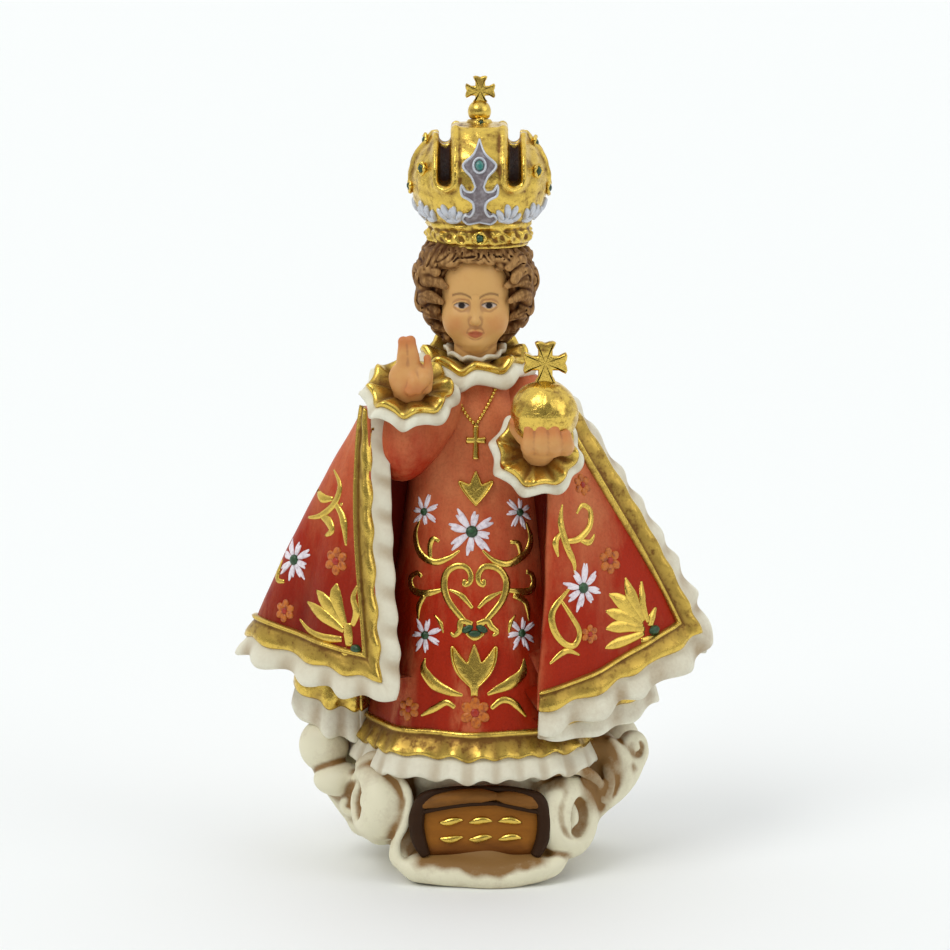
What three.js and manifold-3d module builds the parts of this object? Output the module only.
// A carved and painted statuette of a crowned child in a tunic and a wide cloak, one hand raised,
// the other holding an orb, standing on a base of scrolled clouds. It is carved as one solid.
// Millimetres, +Z up, the front faces -Y, the origin is on the underside on the figure's axis.
import * as THREE from "three";
import { mergeVertices } from "three/addons/utils/BufferGeometryUtils.js";
import Module from "manifold-3d";

const wasm = await Module();
wasm.setup();

// Everything is carved as shares of one size: written for a figure of carvedHeight, unit turns
// those lengths into shares of the real height.
const height = 200;
const carvedHeight = 200;
const unit = height / carvedHeight;

// Levels, each standing on the one below: the hem above the clouds, the neck, head and crown
const carvedHem = 28;
const carvedNeck = 130;
const hemLevel = carvedHem * unit;
const tunicTall = (carvedNeck - carvedHem) * unit;
const neckLevel = hemLevel + tunicTall;
const headLift = 15.5 * unit;
const headLevel = neckLevel + headLift;
const crownLift = 13.8 * unit;
const crownLevel = headLevel + crownLift;

// Crown
const crownTall = 30.2 * unit;
const crownTop = crownLevel + crownTall;
const crownBandRadius = 12.9 * unit;
const crownBulgeRadius = 17.2 * unit;
const crownSlotWidth = 3 * unit;
const crownSlotTall = 15 * unit;
const crownCapRadius = 12 * unit;
const finialRadius = 2.9 * unit;
const finialCrossTall = 7 * unit;
const finialCrossSpan = 7.6 * unit;

// Ruffs: the collar and the two cuffs
const collarRadius = 12.2 * unit;
const raisedCuffRadius = 9.8 * unit;
const orbCuffRadius = 9.3 * unit;
const ruffWaves = 8;

// Orb and its cross
const orbRadius = 8.2 * unit;
const orbCrossTall = 10.4 * unit;
const orbCrossSpan = 10.8 * unit;
const crossThickness = 2.8 * unit;

// Lace along the cloak's edges
const laceWidth = 5.6 * unit;
const laceThickness = 2.2 * unit;
const laceWaveLength = 9 * unit;
const laceWaveHeight = 0.8 * unit;
// Share of the cloak's fall at which its hem lace is sewn on
const laceSeam = 0.98;

// Tablet on the base
const tabletWidth = 35 * unit;
const tabletTall = 19 * unit;
const tabletBorder = 3.4 * unit;
const tabletBorderRise = 1.6 * unit;
const tabletDepth = 4 * unit;
const browRadius = 2.2 * unit;
const strokeReach = new THREE.Vector3(2.6, 0.8, 0.8).multiplyScalar(unit);

// Slivers finer than this are dropped where forms run into each other
const finestDetail = 0.08 * unit;

// A length of the carving, and a place on it: places follow the levels up to the neck
const by = (x, y, z) => new THREE.Vector3(x, y, z).multiplyScalar(unit);
const at = (x, y, z) => {
  const point = by(x, y, z);
  if (z <= carvedHem) point.z = (z / carvedHem) * hemLevel;
  else if (z <= carvedNeck) {
    point.z = hemLevel + ((z - carvedHem) / (carvedNeck - carvedHem)) * tunicTall;
  } else point.z = neckLevel + (z - carvedNeck) * unit;
  return point;
};
const sized = (radii) => radii.map((radius) => radius * unit);
const lerp = (a, b, t) => a + (b - a) * t;
const turn = 2 * Math.PI;

const paint = new THREE.MeshStandardMaterial({ color: 0xb8483a, roughness: 0.45, metalness: 0.1 });

// Solids and joins

function toSolid(geometry) {
  const bare = geometry.clone();
  bare.deleteAttribute("normal");
  bare.deleteAttribute("uv");
  const merged = mergeVertices(bare, 1e-4);
  const vertProperties = new Float32Array(merged.attributes.position.array);
  const triVerts = new Uint32Array(merged.index.array);
  const build = () =>
    new wasm.Manifold(
      new wasm.Mesh({ numProp: 3, vertProperties, triVerts, tolerance: finestDetail }),
    );
  const solid = build();
  if (solid.volume() > 0) return solid;
  // The faces point inwards, so each is turned over
  for (let i = 0; i < triVerts.length; i += 3) {
    [triVerts[i + 1], triVerts[i + 2]] = [triVerts[i + 2], triVerts[i + 1]];
  }
  return build();
}

function join(pieces) {
  return pieces.reduce((whole, piece) => whole.add(piece));
}

// The outer skin alone: the closed pockets between forms that run into each other are wood too.
function withoutPockets(solid) {
  const skins = solid.decompose();
  return skins.reduce((outer, skin) => (skin.volume() > outer.volume() ? skin : outer));
}

function toGeometry(solid) {
  const mesh = solid.getMesh();
  const geometry = new THREE.BufferGeometry();
  geometry.setAttribute("position", new THREE.BufferAttribute(mesh.vertProperties, 3));
  geometry.setIndex(new THREE.BufferAttribute(mesh.triVerts, 1));
  geometry.computeVertexNormals();
  return geometry;
}

// A closed body through rings of points, each ring a closed loop, with a lid on either end.
// A lid fans out from its middle, or is cut to the ring's plan where the ring turns inwards.
function loft(rings, lidsFromPlan = false) {
  const count = rings[0].length;
  const points = rings.flat();
  const faces = [];
  for (let r = 0; r + 1 < rings.length; r++) {
    for (let i = 0; i < count; i++) {
      const j = (i + 1) % count;
      const [a, b] = [r * count + i, r * count + j];
      const [c, d] = [a + count, b + count];
      faces.push(a, b, d, a, d, c);
    }
  }
  for (const [ring, offset, flip] of [
    [rings[0], 0, true],
    [rings.at(-1), (rings.length - 1) * count, false],
  ]) {
    if (lidsFromPlan) {
      const plan = ring.map((p) => new THREE.Vector2(p.x, p.y));
      const turned = flip !== THREE.ShapeUtils.isClockWise(plan);
      for (const [a, b, c] of THREE.ShapeUtils.triangulateShape(plan, [])) {
        faces.push(offset + a, offset + (turned ? c : b), offset + (turned ? b : c));
      }
    } else {
      const middle = ring.reduce((sum, p) => sum.add(p), new THREE.Vector3()).divideScalar(count);
      points.push(middle);
      for (let i = 0; i < count; i++) {
        const [a, b] = [offset + i, offset + ((i + 1) % count)];
        faces.push(points.length - 1, flip ? b : a, flip ? a : b);
      }
    }
  }
  const geometry = new THREE.BufferGeometry().setFromPoints(points);
  geometry.setIndex(faces);
  return toSolid(geometry);
}

// A ring drawn in towards the figure's axis, to a flat level inside the body
function drawnIn(ring, share, level) {
  return ring.map((point) => new THREE.Vector3(share * point.x, share * point.y, level));
}

function ellipsoid(centre, radii, across = 12, down = 8, rotation = new THREE.Euler()) {
  const geometry = new THREE.SphereGeometry(1, across, down);
  geometry.scale(radii.x, radii.y, radii.z);
  geometry.applyMatrix4(new THREE.Matrix4().makeRotationFromEuler(rotation));
  geometry.translate(centre.x, centre.y, centre.z);
  return toSolid(geometry);
}

function ball(centre, radius, across = 8, down = 6) {
  return ellipsoid(centre, new THREE.Vector3(radius, radius, radius), across, down);
}

// A limb, finger or lock of hair: round sections of the given radii along a smooth path.
function limb(path, radii, sides = 8, steps = 8) {
  const curve = new THREE.CatmullRomCurve3(path);
  const frames = curve.computeFrenetFrames(steps, false);
  const rings = [];
  for (let s = 0; s <= steps; s++) {
    const t = s / steps;
    const place = t * (radii.length - 1);
    const low = Math.min(Math.floor(place), radii.length - 2);
    const radius = lerp(radii[low], radii[low + 1], place - low);
    const middle = curve.getPointAt(t);
    rings.push(
      Array.from({ length: sides }, (_, i) => {
        const angle = (turn * i) / sides;
        return middle
          .clone()
          .addScaledVector(frames.normals[s], radius * Math.cos(angle))
          .addScaledVector(frames.binormals[s], radius * Math.sin(angle));
      }),
    );
  }
  return loft(rings);
}

// The turn that brings +Z onto an axis
function turnOnto(axis) {
  return new THREE.Quaternion().setFromUnitVectors(new THREE.Vector3(0, 0, 1), axis.clone().normalize());
}

// Reads a table of [position, value, value...] rows at any position between its first and last.
function readTable(table, position) {
  const last = table.length - 2;
  let row = 0;
  while (row < last && position > table[row + 1][0]) row++;
  const [from, to] = [table[row], table[row + 1]];
  const t = THREE.MathUtils.smootherstep(position, from[0], to[0]);
  const even = THREE.MathUtils.clamp((position - from[0]) / (to[0] - from[0]), 0, 1);
  return from.slice(1).map((value, i) => lerp(value, to[i + 1], lerp(even, t, 0.25)));
}

// Tunic: a bell of oval rings, fluted towards its hem, with a step where the lace stands out
const tunicSteps = 30;
const tunicFlutes = 8;
const tunicFluteDepth = 0.03;
const tunicFluteShare = 0.35;
const tunicLaceShare = 0.08;
const tunicLaceStep = 1.03;
const tunicHemWave = 0.6 * unit;
const tunicTable = [
  // share of the tunic's height, middle x, middle y, half width and half depth
  [0, -0.3, -3.5, 30, 27],
  [0.075, -0.3, -3.5, 28.8, 26],
  [0.22, -0.8, -3.8, 25.6, 23.4],
  [0.36, -1.2, -4.2, 22.8, 20.8],
  [0.51, -1.4, -4.5, 20.4, 18.2],
  [0.66, -1.4, -4.5, 18.2, 15.4],
  [0.78, -1.4, -4.6, 16.8, 13.4],
  [0.88, -1.2, -4.4, 14.5, 11.6],
  [0.95, -1, -4.2, 10.4, 9.2],
  [1, -1, -4, 7.4, 7.4],
];

function tunic() {
  const shares = [0, tunicLaceShare, tunicLaceShare + 0.02, 0.3, 0.55, 0.75, 0.88, 0.95];
  const rings = shares.map((share) => {
    const [x, y, halfWidth, halfDepth] = readTable(tunicTable, share);
    const inLace = share <= tunicLaceShare;
    const flute = tunicFluteDepth * Math.max(0, 1 - share / tunicFluteShare);
    const step = inLace ? tunicLaceStep : 1;
    const level = hemLevel + share * tunicTall;
    return Array.from({ length: tunicSteps }, (_, i) => {
      const angle = (turn * (i + 0.5)) / tunicSteps;
      const wave = Math.cos(tunicFlutes * angle);
      const swell = step * (1 + flute * wave);
      return new THREE.Vector3(
        unit * (x + halfWidth * swell * Math.cos(angle)),
        unit * (y + halfDepth * swell * Math.sin(angle)),
        level - (share === 0 ? tunicHemWave * wave : 0),
      );
    });
  });
  return loft(rings);
}

// Cloak: ribs run from the shoulders to the hem, in order around the figure, from the left
// front edge round the back to the open edge on the right, then along the right front panel to
// its fold, and back behind the tunic. Each rib is its top, its hem and how far it bows out.
const cloakRibs = [
  [at(-26.9, -20.3, 119.4), at(-24.4, -32.3, 54), 1],
  [at(-28, -18, 119.8), at(-34, -27, 55), 1.4],
  [at(-28.6, -15.5, 119.8), at(-45, -18.5, 57), 1.8],
  [at(-28.4, -12.5, 119.2), at(-58.4, -4.5, 59), 1.6],
  [at(-25, -5, 119), at(-52, 10, 55), 1],
  [at(-19, 0.5, 122), at(-37, 24, 51.5), 0],
  [at(-9.5, 4, 127.5), at(-14, 31, 50), 0],
  [at(7.5, 4, 127.5), at(13, 31, 50), 0],
  [at(16, 0.5, 121), at(35, 24, 51.5), 0],
  [at(20.5, -4, 118), at(48, 10, 55), 1],
  [at(24, -11, 118), at(56.2, -5, 60), 1.6],
  [at(23, -13.8, 116.4), at(51, -9, 57.8), 1.5],
  [at(22, -17, 113), at(42, -17.5, 54.4), 1.2],
  [at(21, -21.5, 106), at(29, -26, 49.5), 1.1],
  [at(17.2, -25, 101), at(14.9, -31.6, 46), 0.8],
  [at(16, -19, 100), at(16, -24, 46), 0],
  [at(8, -6, 104), at(18, -10, 46), 0],
  [at(-10, -6, 108), at(-20, -10, 48), 0],
  [at(-22, -13, 115), at(-28, -20, 51), 0],
];
const cloakRibSamples = 2;
const cloakLevels = 6;
const cloakSlack = 0.45;
// Inside, the cloak is closed over the shoulders and under its lining
const shouldersDrawnIn = 0.5;
const shouldersLevel = at(0, 0, 118).z;
const liningDrawnIn = 0.72;
const liningLevel = at(0, 0, 45).z;

function ribPoint([top, hem, bow], down) {
  const point = top.clone().lerp(hem, down);
  const out = new THREE.Vector3(point.x, point.y, 0).normalize();
  return point.addScaledVector(out, bow * unit * Math.sin(Math.PI * down));
}

// The cloak's closed outline at a share of the way down
function cloakRing(down) {
  const ribs = cloakRibs.map((rib) => ribPoint(rib, down));
  return new THREE.CatmullRomCurve3(ribs, true, "catmullrom", cloakSlack);
}

function cloak() {
  const count = cloakRibs.length * cloakRibSamples;
  const rings = [];
  for (let level = 0; level <= cloakLevels; level++) {
    const curve = cloakRing(level / cloakLevels);
    rings.push(Array.from({ length: count }, (_, i) => curve.getPoint(i / count)));
  }
  const shoulders = drawnIn(rings[0], shouldersDrawnIn, shouldersLevel);
  const lining = drawnIn(rings.at(-1), liningDrawnIn, liningLevel);
  return loft([lining, ...rings.reverse(), shoulders], true);
}

// The cloth at a rib, which may lie between two, and a share of the way down: its place, the
// way along the outline away from the next rib, the way down, and the way it faces
function clothAt(rib, down) {
  const count = cloakRibs.length;
  const near = 0.02;
  const reach = 0.25;
  const around = (shift, share) => {
    return cloakRing(share).getPoint(((rib + shift + count) / count) % 1);
  };
  const point = around(0, down);
  const out = point.clone().sub(around(reach, down)).normalize();
  const fall = around(0, down + near).sub(around(0, down - near)).normalize();
  const face = out.clone().cross(fall).normalize();
  if (face.dot(new THREE.Vector3(point.x, point.y, 0)) < 0) face.negate();
  return { point, out, fall, face };
}

function smoothed(vectors) {
  return vectors.map((vector, i) => {
    const before = vectors[Math.max(0, i - 1)];
    const after = vectors[Math.min(vectors.length - 1, i + 1)];
    return vector.clone().multiplyScalar(2).add(before).add(after).normalize();
  });
}

// Lace along the cloak's edge: a flat frill that grows from the cloth and waves to and fro. The
// stops are [rib, share of the way down, steps to the next].
function lace(stops) {
  const frames = [];
  for (let s = 0; s + 1 < stops.length; s++) {
    const [[rib, down, steps], [nextRib, nextDown]] = [stops[s], stops[s + 1]];
    for (let i = s === 0 ? 0 : 1; i <= steps; i++) {
      const t = i / steps;
      const cloth = clothAt(lerp(rib, nextRib, t), lerp(down, nextDown, t));
      frames.push({ ...cloth, away: rib === nextRib ? cloth.out : cloth.fall });
    }
  }
  const aways = smoothed(smoothed(frames.map((frame) => frame.away)));
  const faces = smoothed(frames.map((frame) => frame.face));
  const tuck = 0.5 * laceWidth;
  const half = laceThickness / 2;
  let travelled = 0;
  const rings = frames.map(({ point }, i) => {
    if (i > 0) travelled += point.distanceTo(frames[i - 1].point);
    const wave = Math.sin((turn * travelled) / laceWaveLength);
    const sway = laceWaveHeight * wave;
    const corner = (along, across) =>
      point.clone().addScaledVector(aways[i], along).addScaledVector(faces[i], across);
    return [
      corner(-tuck, -1.6 * half),
      corner(laceWidth + 0.3 * sway, sway - half),
      corner(laceWidth + 0.3 * sway, sway + half),
      corner(-0.3 * tuck, 0.9 * half),
    ];
  });
  return loft(rings);
}

// Under layer: the lower tier of hem that shows below the cloak
const underRibs = [
  [at(-30, -13, 56), at(-30, -13, 32)],
  [at(-38, -9, 56), at(-39.5, -9, 35)],
  [at(-45, 0, 56), at(-47.5, 0, 40)],
  [at(-37, 13, 54), at(-39, 14, 37)],
  [at(-18, 24, 52), at(-19, 26, 35.5)],
  [at(0, 27, 52), at(0, 29.5, 35)],
  [at(18, 24, 52), at(19, 26, 35.5)],
  [at(36, 13, 54), at(38, 14, 36)],
  [at(43, 0, 56), at(45, 0, 41)],
  [at(36, -14, 54), at(36.5, -14, 38.5)],
  [at(26, -24, 50), at(26.5, -24, 37.5)],
  [at(16, -30, 48), at(16, -31, 38.5)],
  [at(16, -22, 48), at(16, -24, 38.5)],
  [at(0, -4, 50), at(0, -4, 36)],
  [at(-20, -6, 54), at(-20, -7, 34)],
];

const underDrawnIn = 0.7;
const underFloorLevel = at(0, 0, 33).z;
const underWaistLevel = at(0, 0, 60).z;

function underLayer() {
  const samples = 2;
  const count = underRibs.length * samples;
  const rings = [1, 0.45, 0].map((down) => {
    const ribs = underRibs.map(([top, hem]) => top.clone().lerp(hem, down));
    const curve = new THREE.CatmullRomCurve3(ribs, true, "catmullrom", cloakSlack);
    return Array.from({ length: count }, (_, i) => {
      const point = curve.getPoint(i / count);
      const away = new THREE.Vector3(point.x, point.y, 0).normalize();
      const wave = Math.cos((turn * i) / samples);
      return point.addScaledVector(away, down * laceWaveHeight * wave);
    });
  });
  const floor = drawnIn(rings[0], underDrawnIn, underFloorLevel);
  const waist = drawnIn(rings.at(-1), underDrawnIn, underWaistLevel);
  return loft([floor, ...rings, waist], true);
}

// Arms in hanging sleeves, from the shoulder to the cuff
const raisedWrist = at(-17.1, -21, 125.1);
const raisedCuffAxis = new THREE.Vector3(0.03, -0.55, 0.83);
const orbWrist = at(14.3, -26, 110.4);
const orbCuffAxis = new THREE.Vector3(0.1, -0.84, 0.54);

function sleeves() {
  const raised = limb(
    [at(-10, -4, 120), at(-17.5, -8, 114), at(-18.6, -15, 108.5), at(-17, -19, 114), raisedWrist],
    sized([7, 8.6, 8, 6.8, 4.8]),
    8,
    6,
  );
  const lowered = limb(
    [at(9, -4, 121), at(15, -8, 115), at(17, -13, 109), at(16, -19, 108), orbWrist],
    sized([7, 8.6, 8, 7, 4.8]),
    8,
    6,
  );
  return [raised, lowered];
}

// A ruff: a gilt dish, and a wider lace flounce below it, both waved around their rims. Rows
// give the reach and the rise as shares of the radius, and how much of the wave they take.
const ruffRows = [
  [0.4, -0.14, 0],
  [1, 0.14, 1],
  [0.98, 0, 1],
  [1.17, -0.1, 1],
  [1.13, -0.24, 1],
  [0.5, -0.45, 0],
];

function ruff(centre, axis, radius, squash = 1) {
  const steps = 2 * ruffWaves;
  const turned = turnOnto(axis);
  const rings = ruffRows.map(([reach, rise, share]) =>
    Array.from({ length: steps }, (_, i) => {
      const angle = (turn * i) / steps;
      const wave = share * Math.cos(ruffWaves * angle);
      const r = radius * reach * (1 + 0.03 * wave);
      const point = new THREE.Vector3(
        r * Math.cos(angle),
        r * Math.sin(angle) * squash,
        radius * (rise + 0.07 * wave),
      );
      return point.applyQuaternion(turned).add(centre);
    }),
  );
  return loft(rings);
}

// The collar's ruff and the neck that stands in it
const collarCentre = by(-1.2, -4.6, 1.2).setZ(neckLevel + 1.2 * unit);
const headCentre = by(-0.9, -4.2, 0).setZ(headLevel);

function collar() {
  const neck = limb(
    [collarCentre.clone().add(by(0.2, 1, -6)), headCentre.clone().add(by(0, 0.6, -5))],
    sized([6.4, 5.6]),
    8,
    1,
  );
  return join([ruff(collarCentre, new THREE.Vector3(0, -0.27, 1), collarRadius, 0.9), neck]);
}

// A finger from its root over its knuckle to its tip, all given from the wrist
function finger(wrist, points, radii) {
  return limb(points.map((point) => point.add(wrist)), sized(radii), 6, points.length - 1);
}

function raisedHand() {
  const wrist = raisedWrist;
  return join([
    ellipsoid(wrist.clone().add(by(-0.1, -2.7, 2.9)), by(5.3, 3.8, 4.3), 8, 5),
    finger(wrist, [by(0, 1, -3), by(0, -2, 1)], [4, 4]),
    finger(wrist, [by(-1.9, -3.4, 4), by(-1.7, -3.8, 8.6), by(-1.5, -3.4, 13)], [1.7, 1.6, 1.1]),
    finger(wrist, [by(1, -3.4, 4), by(0.8, -3.8, 8.6), by(0.4, -3.4, 13)], [1.7, 1.6, 1.1]),
    finger(wrist, [by(2.6, -4, 4.4), by(3.6, -5.8, 3.2), by(2, -6, 0.6)], [1.7, 1.7, 1.2]),
    finger(wrist, [by(4, -3.4, 0.6), by(4.6, -4.4, 4.4), by(4.4, -4.2, 8)], [1.6, 1.3, 0.8]),
  ]);
}

const orbCentre = orbWrist.clone().add(by(1.6, -6, 10.1));

function orbHand() {
  const wrist = orbWrist;
  const fingerStep = 2.9;
  const fingers = [0, 1, 2, 3].map((i) => {
    const x = 2.2 + (i - 1.5) * fingerStep;
    const back = 0.5 * (i - 1.5) ** 2;
    const tip = 10.2 - 0.5 * (i - 1) ** 2;
    return finger(
      wrist,
      [by(x, -8 + back, 2.4), by(x, -13.4 + back, 5), by(x, -13.6 + back, tip)],
      [1.6, 1.9, 1.3],
    );
  });
  return join([
    ellipsoid(wrist.clone().add(by(1.9, -5.4, 4.2)), by(6.4, 5.6, 4.6), 8, 5),
    finger(wrist, [by(0, 3, -2), by(1, -5, 3)], [4, 4.4]),
    finger(wrist, [by(-4, -4, 4), by(-6.6, -6, 7.6), by(-6.8, -7.6, 11)], [1.9, 1.7, 1.1]),
    ...fingers,
  ]);
}

// A cross standing on its foot, cut from a sheet: square arms whose ends flare a little
function cross(foot, tall, span, thickness) {
  const stem = 0.2 * span;
  const end = 0.26 * span;
  const notch = 0.1 * span;
  const half = span / 2;
  const middle = tall - half;
  const right = [
    [end, 0],
    [stem, notch],
    [stem, middle - stem],
    [half - notch, middle - stem],
    [half, middle - end],
    [half, middle + end],
    [half - notch, middle + stem],
    [stem, middle + stem],
    [stem, tall - notch],
    [end, tall],
  ];
  const left = right.toReversed().map(([x, z]) => [-x, z]);
  const outline = [...right, ...left].map(([x, z]) => new THREE.Vector2(x, z));
  const geometry = new THREE.ExtrudeGeometry(new THREE.Shape(outline), {
    depth: thickness,
    bevelEnabled: false,
  });
  geometry.translate(0, 0, -thickness / 2);
  geometry.rotateX(Math.PI / 2);
  geometry.translate(foot.x, foot.y, foot.z);
  return toSolid(geometry);
}

function orb() {
  const foot = orbCentre.clone().add(new THREE.Vector3(0.2 * unit, 0, 0.9 * orbRadius));
  return join([
    ball(orbCentre, orbRadius, 12, 7),
    cross(foot, orbCrossTall, orbCrossSpan, crossThickness),
  ]);
}

// Head: level from the head's middle, half width, reach to the front and reach to the back
const headRows = [
  [-12.2, 2.4, 6.2, 2],
  [-10.8, 4.6, 8.4, 4],
  [-7.8, 7, 9.1, 7],
  [-4, 8.5, 9.2, 9],
  [0, 8.9, 8.9, 10],
  [4.5, 8.9, 9.1, 10],
  [9, 7.6, 8.2, 9],
  [13, 4, 4.4, 5],
];

function head() {
  const steps = 12;
  const rings = headRows.map(([level, halfWidth, front, back]) =>
    Array.from({ length: steps }, (_, i) => {
      const angle = (turn * i) / steps;
      const [across, along] = [Math.sin(angle), -Math.cos(angle)];
      const reach = along < 0 ? front : back;
      return headCentre.clone().add(by(halfWidth * across, reach * along, level));
    }),
  );
  const nose = ellipsoid(headCentre.clone().add(by(0, -9.3, -3)), by(1.3, 1.7, 2), 6, 4);
  return join([loft(rings), nose]);
}

// Hair: lumps of curls around the head, longer towards the neck, open in front for the face.
// Rows give the level from the head's middle, the reach, and where the hair starts from the
// middle of the face, in degrees.
const hairRows = [
  [-13.4, 6.4, 104],
  [-10.4, 9, 78],
  [-6.6, 12, 62],
  [-2, 13.8, 54],
  [2.6, 14.2, 50],
  [7, 13.4, 40],
  [10.6, 12, 10],
  [14, 10.6, 10],
];
const hairSteps = 20;

function hair() {
  const lump = 0.075;
  const rings = hairRows.map(([level, reach, from], row) => {
    const curls = Array.from({ length: hairSteps }, (_, i) => {
      const share = i / (hairSteps - 1);
      const angle = THREE.MathUtils.degToRad(lerp(from, 360 - from, share));
      const edge = 1 - 0.1 * Math.abs(2 * share - 1) ** 12;
      const outer = reach * edge * (1 + ((i + row) % 2 === 0 ? lump : -lump));
      const rise = i % 2 === 0 ? 0.7 : -0.7;
      return headCentre
        .clone()
        .add(by(outer * Math.sin(angle), 1.2 - 0.84 * outer * Math.cos(angle), level + rise));
    });
    // Behind the face the outline closes through the head
    const inner = [0.6, 0, -0.6].map((side) => {
      const angle = THREE.MathUtils.degToRad(-from * side);
      const depth = row < 6 ? 4.5 : reach * 0.9;
      return headCentre.clone().add(by(depth * Math.sin(angle), -depth * Math.cos(angle), level));
    });
    return [...curls, ...inner];
  });
  return loft(rings);
}

// Crown: a band, a flared basket and six broad arches that close over the top, with slots
// between them down to an inner cap, and a ball and cross above. The four slots beside the
// front and back arches run straight back, so that those arches keep their width.
const crownAxis = by(-0.2, -2, 0).setZ(crownLevel);
const crownSteps = 24;

function crownProfile() {
  const band = crownBandRadius;
  const bulge = crownBulgeRadius;
  return [
    [0.94 * band, 0],
    [band, 0.02],
    [band, 0.13],
    [0.98 * band, 0.16],
    [lerp(band, bulge, 0.72), 0.3],
    [bulge, 0.46],
    [0.98 * bulge, 0.66],
    [0.92 * bulge, 0.83],
    [0.8 * bulge, 0.93],
    [0.62 * bulge, 0.98],
    [0.4 * bulge, 1],
  ].map(([radius, share]) => new THREE.Vector2(radius, share * crownTall));
}

function crownReach(share) {
  const rows = crownProfile().map(({ x, y }) => [y / crownTall, x]);
  return readTable(rows, share)[0];
}

function crownSlots() {
  const length = crownBulgeRadius;
  const tall = crownSlotTall + crownTall;
  const aside = crownBulgeRadius / 2;
  const start = length / 2 + 0.3 * crownBulgeRadius;
  const box = () => {
    const slot = new THREE.BoxGeometry(crownSlotWidth, length, tall);
    return slot.translate(0, 0, crownTop - crownSlotTall + tall / 2);
  };
  const straight = [-1, 1].flatMap((side) =>
    [-1, 1].map((end) => {
      return box().translate(crownAxis.x + side * aside, crownAxis.y + end * start, 0);
    }),
  );
  const sideways = [-1, 1].map((side) =>
    box()
      .rotateZ(turn / 4)
      .translate(crownAxis.x + side * start, crownAxis.y, 0),
  );
  return [...straight, ...sideways].map(toSolid);
}

function crown() {
  const axis = new THREE.Vector2(0, 0);
  const shell = new THREE.LatheGeometry(
    [axis, ...crownProfile(), new THREE.Vector2(0, crownTall)],
    crownSteps,
  );
  shell.rotateX(Math.PI / 2);
  shell.translate(crownAxis.x, crownAxis.y, crownAxis.z);
  const basket = crownSlots().reduce((whole, slot) => whole.subtract(slot), toSolid(shell));
  const cap = ellipsoid(
    crownAxis.clone().setZ(crownLevel + 0.42 * crownTall),
    new THREE.Vector3(crownCapRadius, crownCapRadius, 0.5 * crownTall),
    10,
    6,
  );
  const finial = crownAxis.clone().setZ(crownTop + 0.85 * finialRadius);
  const foot = finial.clone().setZ(finial.z + 0.6 * finialRadius);
  return join([
    basket,
    cap,
    ball(finial, finialRadius, 8, 6),
    cross(foot, finialCrossTall, finialCrossSpan, crossThickness),
    ...crownJewels(),
  ]);
}

// Knobs and gems on the crown: degrees from the front, share of its height, radius
const jewels = [
  [-60, 0.84, 1.5],
  [60, 0.84, 1.5],
  [-56, 0.6, 1.4],
  [56, 0.6, 1.4],
  [-84, 0.44, 1.6],
  [84, 0.44, 1.6],
  [0, 0.66, 2],
  [0, 0.07, 1.5],
];

function crownJewels() {
  return jewels.map(([degrees, share, radius]) => {
    const angle = THREE.MathUtils.degToRad(degrees);
    const reach = crownReach(share);
    const offset = new THREE.Vector3(
      reach * Math.sin(angle),
      -reach * Math.cos(angle),
      share * crownTall,
    );
    const gem = new THREE.OctahedronGeometry(radius * unit);
    const centre = crownAxis.clone().add(offset);
    return toSolid(gem.translate(centre.x, centre.y, centre.z));
  });
}

// Clouds: a core that widens upwards, set about with scrolls, arms and rounded billows
const cloudRows = [
  // level, middle y, half width and half depth
  [0, -4, 21, 20.6],
  [5, -4, 22.6, 22],
  [16, -3.4, 24.6, 21],
  [28, -2, 32, 22.4],
  [40, -1, 37, 23],
];

function cloudCore() {
  const steps = 20;
  const rings = cloudRows.map(([level, y, halfWidth, halfDepth], row) =>
    Array.from({ length: steps }, (_, i) => {
      const angle = (turn * i) / steps;
      const billow = 1 + 0.035 * Math.cos(5 * angle + 0.6 * row);
      return at(
        halfWidth * billow * Math.cos(angle),
        y + halfDepth * billow * Math.sin(angle),
        level,
      );
    }),
  );
  return loft(rings);
}

// A scroll: a rolled disc with a sunken eye and a groove around it, facing along its axis.
// Rows give the reach as a share of the radius and the rise as a share of the thickness.
const scrollRows = [
  [0.14, 0.12],
  [0.34, 0.44],
  [0.52, 0.26],
  [0.8, 0.5],
  [1, 0.2],
  [0.96, -0.3],
];

function scroll({ centre, axis, radius, thickness, steps }) {
  const turned = turnOnto(new THREE.Vector3(...axis));
  const rings = scrollRows.map(([reach, rise]) =>
    Array.from({ length: steps }, (_, i) => {
      const angle = (turn * i) / steps;
      const r = reach * radius;
      const point = by(r * Math.cos(angle), r * Math.sin(angle), rise * thickness);
      return point.applyQuaternion(turned).add(centre);
    }),
  );
  return loft(rings);
}

const scrolls = [
  { centre: at(-24.8, -18.6, 17), axis: [-0.91, -0.42, 0.08], radius: 11, thickness: 7.4, steps: 11 },
  { centre: at(24.2, -18, 14.6), axis: [0.88, -0.47, 0.04], radius: 11, thickness: 8, steps: 11 },
  { centre: at(-41, -4.6, 31.4), axis: [-0.72, -0.68, 0.15], radius: 5.2, thickness: 6, steps: 8 },
  { centre: at(39, -5.6, 31), axis: [0.66, -0.74, 0.12], radius: 4.6, thickness: 6, steps: 8 },
  { centre: at(-24, 14, 15), axis: [-0.66, 0.75, 0], radius: 11, thickness: 8, steps: 9 },
  { centre: at(24, 14, 15), axis: [0.66, 0.75, 0], radius: 11, thickness: 8, steps: 9 },
];

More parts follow.
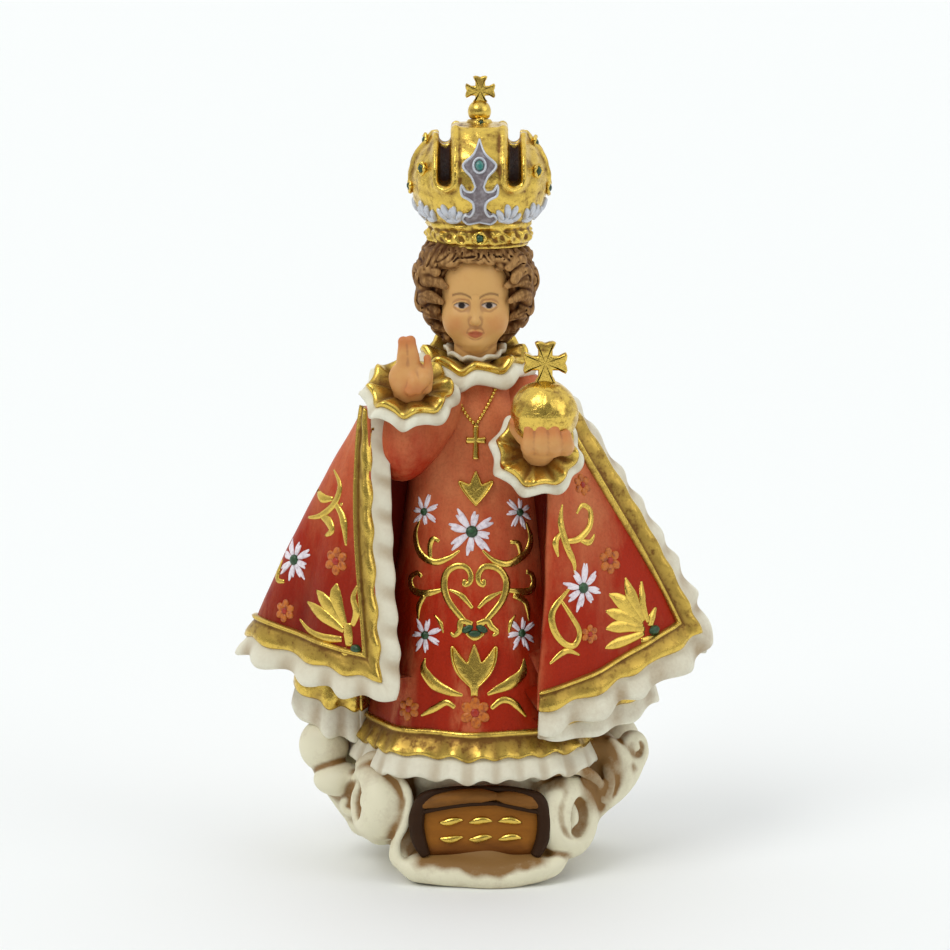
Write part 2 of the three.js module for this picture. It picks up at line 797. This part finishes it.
// Arms that sweep from the small upper scrolls down to the large lower ones
function cloudArms() {
  const leftPath = [
    at(-40, -3.4, 31),
    at(-40, -5.6, 25.4),
    at(-36.4, -9, 20.6),
    at(-31, -12.4, 16.6),
    at(-25, -13, 10),
  ];
  const rightPath = [
    at(38.2, -4, 31),
    at(36.8, -6, 25.4),
    at(35.8, -8, 20.4),
    at(32.4, -11, 16),
    at(25, -12, 9),
  ];
  return [
    limb(leftPath, sized([4, 4.2, 4.4, 5, 5]), 7, 5),
    limb(rightPath, sized([3.4, 3.3, 3.8, 4.4, 5]), 7, 5),
  ];
}

const billows = [
  [at(-34, 9, 27), by(8, 8, 9)],
  [at(34, 9, 27), by(8, 8, 9)],
  [at(0, 19, 20), by(14, 6, 12)],
];

// The lip of cloud that runs under the tablet
function cloudLip() {
  const path = [
    at(-24, -15, 10),
    at(-20.4, -21.6, 5.2),
    at(-13, -25.4, 3.2),
    at(-5, -26.6, 2.8),
    at(4, -27.2, 2.1),
    at(12, -25.6, 3.2),
    at(19, -21.6, 4.2),
  ];
  return limb(path, sized([2.6, 2.9, 2.9, 3.1, 3.2, 3, 2.6]), 6, 9);
}

function clouds() {
  const rounded = billows.map(([centre, radii]) => ellipsoid(centre, radii, 8, 5));
  return join([cloudCore(), cloudLip(), ...cloudArms(), ...scrolls.map(scroll), ...rounded]);
}

// Tablet: an arched panel in a rounded border, with a rolled brow and two rows of short strokes
const tabletFoot = at(0.4, -26.2, 6.8);

function tabletOutline(inset) {
  const half = tabletWidth / 2 - inset;
  const foot = 0.4 * inset;
  const top = tabletTall - inset;
  const shoulder = 0.66 * top;
  const shape = new THREE.Shape();
  shape.moveTo(-0.9 * half, foot);
  shape.lineTo(0.9 * half, foot);
  shape.lineTo(half, shoulder);
  shape.quadraticCurveTo(0.86 * half, top, 0.4 * half, top);
  shape.lineTo(-0.4 * half, top);
  shape.quadraticCurveTo(-0.86 * half, top, -half, shoulder);
  shape.lineTo(-0.9 * half, foot);
  return shape;
}

function tablet() {
  const slab = (shape, depth, forward) => {
    const geometry = new THREE.ExtrudeGeometry(shape, {
      depth,
      bevelEnabled: false,
      curveSegments: 4,
    });
    geometry.translate(0, 0, -depth);
    geometry.rotateX(Math.PI / 2);
    geometry.translate(tabletFoot.x, tabletFoot.y - forward, tabletFoot.z);
    return toSolid(geometry);
  };
  const border = tabletOutline(0);
  border.holes.push(tabletOutline(tabletBorder));
  const brow = limb(
    [-0.41, -0.2, 0, 0.2, 0.41].map((share) => {
      const drop = 0.9 * share ** 2;
      const offset = new THREE.Vector3(
        share * tabletWidth,
        drop * tabletWidth * 0.2 - browRadius,
        0.78 * tabletTall - drop * tabletTall,
      );
      return offset.add(tabletFoot);
    }),
    [0.73, 0.95, 1, 0.95, 0.73].map((share) => share * browRadius),
    6,
    6,
  );
  const strokes = [0.27, 0.5].flatMap((row) =>
    [-1, 0, 1].map((step) => {
      const offset = new THREE.Vector3(0.21 * step * tabletWidth, 0, row * tabletTall);
      return ellipsoid(tabletFoot.clone().add(offset), strokeReach, 6, 4);
    }),
  );
  const frame = slab(border, tabletDepth + tabletBorderRise, tabletBorderRise);
  const panel = slab(tabletOutline(tabletBorder / 2), tabletDepth, 0);
  return join([frame, panel, brow, ...strokes]);
}

function statue() {
  const figure = join([
    clouds(),
    tablet(),
    tunic(),
    underLayer(),
    cloak(),
    lace([[0, 0.03, 18], [0, laceSeam, 10], [3, laceSeam, 18], [9.4, laceSeam, 0]]),
    lace([[10, 0.03, 18], [10, laceSeam, 12], [14, laceSeam, 0]]),
    ...sleeves(),
    ruff(raisedWrist, raisedCuffAxis, raisedCuffRadius),
    ruff(orbWrist, orbCuffAxis, orbCuffRadius),
    collar(),
    raisedHand(),
    orbHand(),
    orb(),
    head(),
    hair(),
    crown(),
  ]);
  // The underside is cut flat, so that the figure stands
  const below = new THREE.BoxGeometry(height, height, height);
  below.translate(0, 0, -height / 2);
  return withoutPockets(figure.subtract(toSolid(below)));
}

const group = new THREE.Group();
const mesh = new THREE.Mesh(toGeometry(statue()), paint);
mesh.name = "statue";
group.add(mesh);

export default group;
